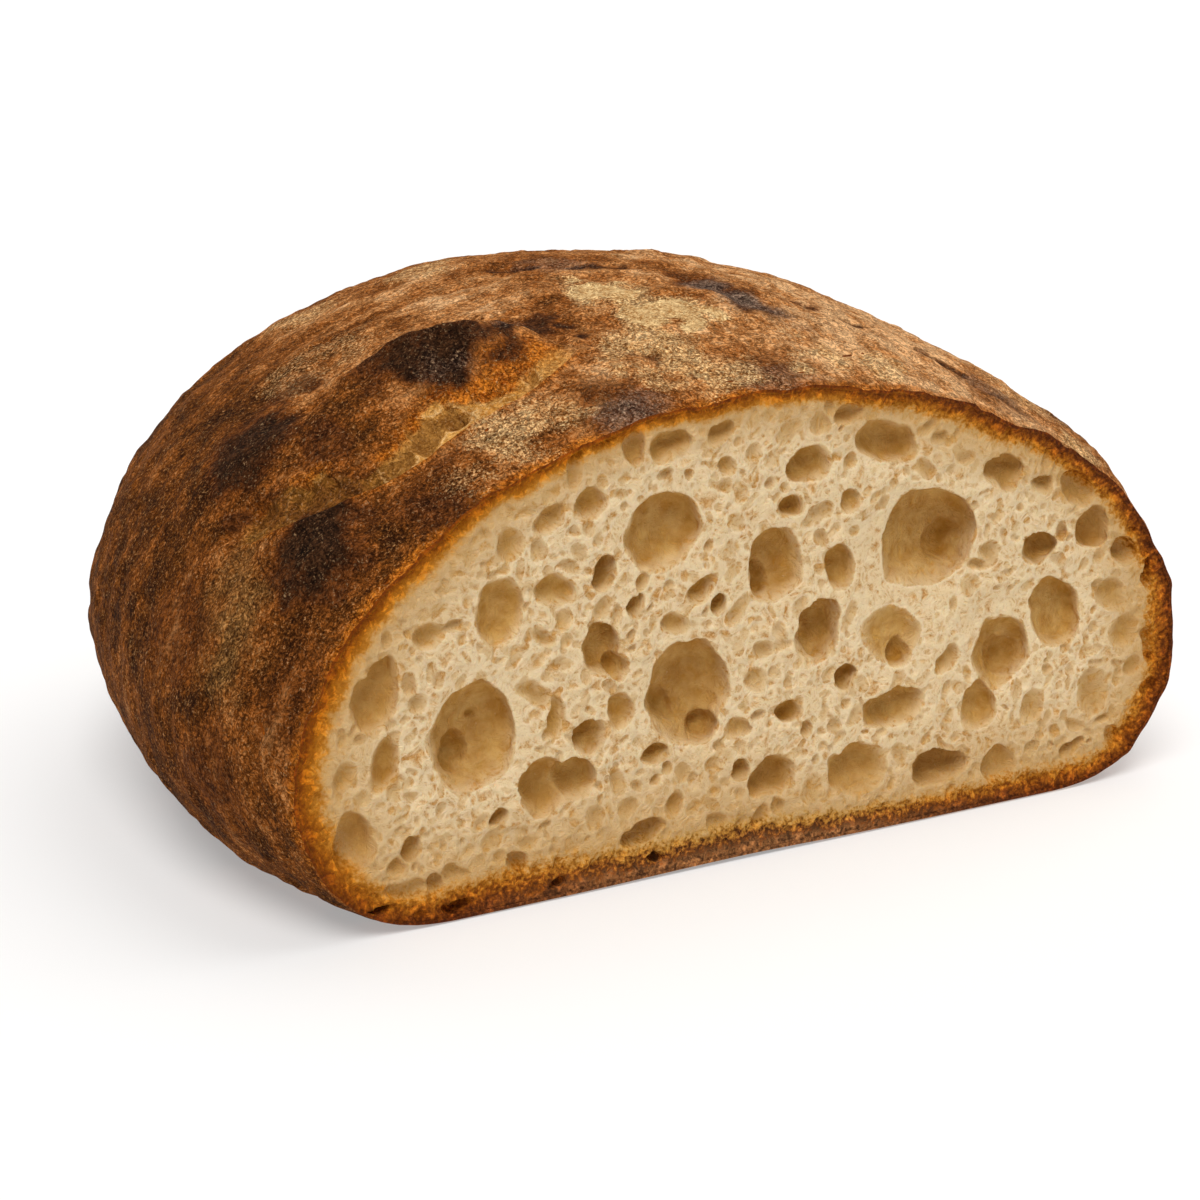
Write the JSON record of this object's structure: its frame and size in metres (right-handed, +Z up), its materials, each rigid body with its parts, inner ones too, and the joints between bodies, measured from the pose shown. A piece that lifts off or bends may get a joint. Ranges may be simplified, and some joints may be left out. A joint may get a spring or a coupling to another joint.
{
  "type": "miche",
  "caption": "Big round country loaf cut straight down in front of its middle, with a torn score on the crown and an open crumb on the cut face.",
  "frame": {"origin": "on the floor under the middle of what is left of the loaf: the middle of its bounding box in X and Y, at the level of the base", "axes": "+Z up, X along the cut face, and the cut face looks to -Y, with the crust behind it"},
  "size_m": [0.2786, 0.2178, 0.1335],
  "materials": {
    "bread": "matt"
  },
  "bodies": {
    "root": {"cut_loaf": "bread"}
  },
  "joints": []
}
